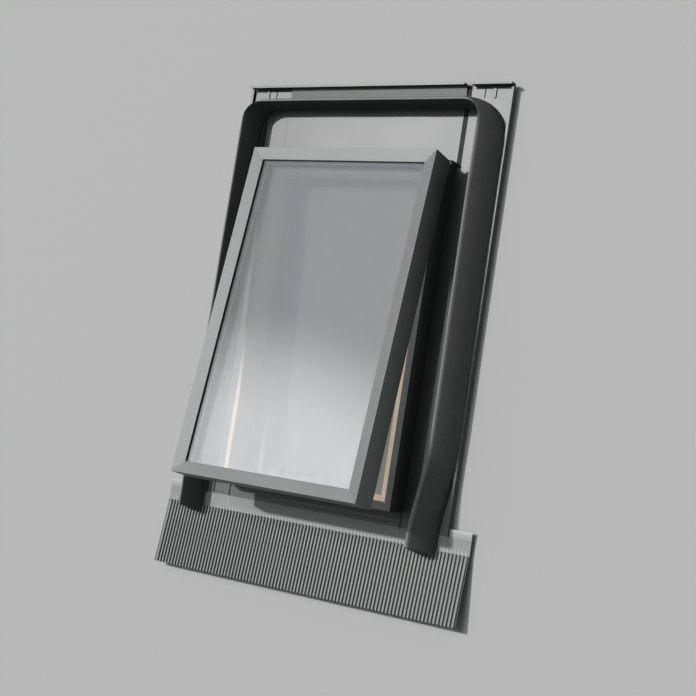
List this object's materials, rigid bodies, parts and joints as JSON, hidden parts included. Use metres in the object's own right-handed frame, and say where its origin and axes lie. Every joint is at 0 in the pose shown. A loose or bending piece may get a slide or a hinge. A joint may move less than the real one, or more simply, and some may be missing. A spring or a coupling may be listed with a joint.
{
  "type": "roof skylight",
  "caption": "Small top-hung roof skylight with timber frame, double-glazed sash, sheet flashing, foam gasket and pleated apron; the sash swings up on head hinges.",
  "frame": {"origin": "middle of the object's bounding box, at the level of the underside of the timber frame, which rests on the roof battens", "axes": "+X across to the right, +Y up the roof slope from the pleated apron to the head, +Z out of the roof"},
  "size_m": [0.839, 1.201, 0.2312],
  "materials": {
    "pine": "bare, planed",
    "dark_cladding": "satin",
    "grey_sheet": "matt",
    "sash_paint": "satin",
    "core_profile": "satin, dark",
    "foam": "open foam",
    "black_rubber": "matt",
    "pane_glass": "clear",
    "spacer": "matt",
    "zinc_steel": "zinc plated",
    "block_plastic": "moulded"
  },
  "bodies": {
    "frame": {"frame_jamb_left": "pine", "frame_jamb_right": "pine", "frame_head": "pine", "frame_sill": "pine", "frame_corner_screws": "zinc_steel", "frame_cladding_left": "dark_cladding", "frame_cladding_right": "dark_cladding", "frame_cladding_head": "dark_cladding", "frame_cladding_sill": "dark_cladding", "cladding_screws": "zinc_steel", "side_flashing_left": "grey_sheet", "side_flashing_right": "grey_sheet", "head_flashing": "grey_sheet", "sill_flashing": "grey_sheet", "head_joint_strip": "black_rubber", "pleated_apron": "grey_sheet", "flashing_rivets": "zinc_steel", "foam_gasket": "foam", "corner_plug_left": "foam", "corner_plug_right": "foam", "hinge_frame_leaf_left": "zinc_steel", "hinge_frame_leaf_right": "zinc_steel", "hinge_pin_left": "zinc_steel", "hinge_pin_right": "zinc_steel", "frame_hardware_screws": "zinc_steel", "stay_peg": "zinc_steel"},
    "sash": {"sash_cover_left": "sash_paint", "sash_cover_right": "sash_paint", "sash_cover_bottom": "sash_paint", "sash_cover_head": "sash_paint", "sash_core_left": "core_profile", "sash_core_right": "core_profile", "sash_core_bottom": "core_profile", "sash_core_head": "core_profile", "sash_corner_cleats": "spacer", "sash_corner_screws": "zinc_steel", "outer_pane": "pane_glass", "inner_pane": "pane_glass", "edge_sealant": "black_rubber", "spacer_bar": "spacer", "outer_glazing_gasket": "black_rubber", "inner_glazing_gasket": "black_rubber", "setting_blocks": "block_plastic", "sash_seal": "black_rubber", "hinge_sash_leaf_left": "zinc_steel", "hinge_sash_leaf_right": "zinc_steel", "sash_hardware_screws": "zinc_steel", "stay_bracket": "zinc_steel", "stay_pin": "zinc_steel"},
    "stay_bar": {"stay_bar": "zinc_steel"}
  },
  "joints": [
    {"name": "sash", "type": "hinge", "parent": "frame", "child": "sash", "pos_m": [0, 0.4125, 0.06], "axis": [-1, 0, 0], "range_deg": [-8.15, 52]},
    {"name": "stay_bar", "type": "hinge", "parent": "sash", "child": "stay_bar", "pos_m": [0, -0.33049, 0.16944], "axis": [1, 0, 0], "range_deg": [-4.5, 80]}
  ]
}
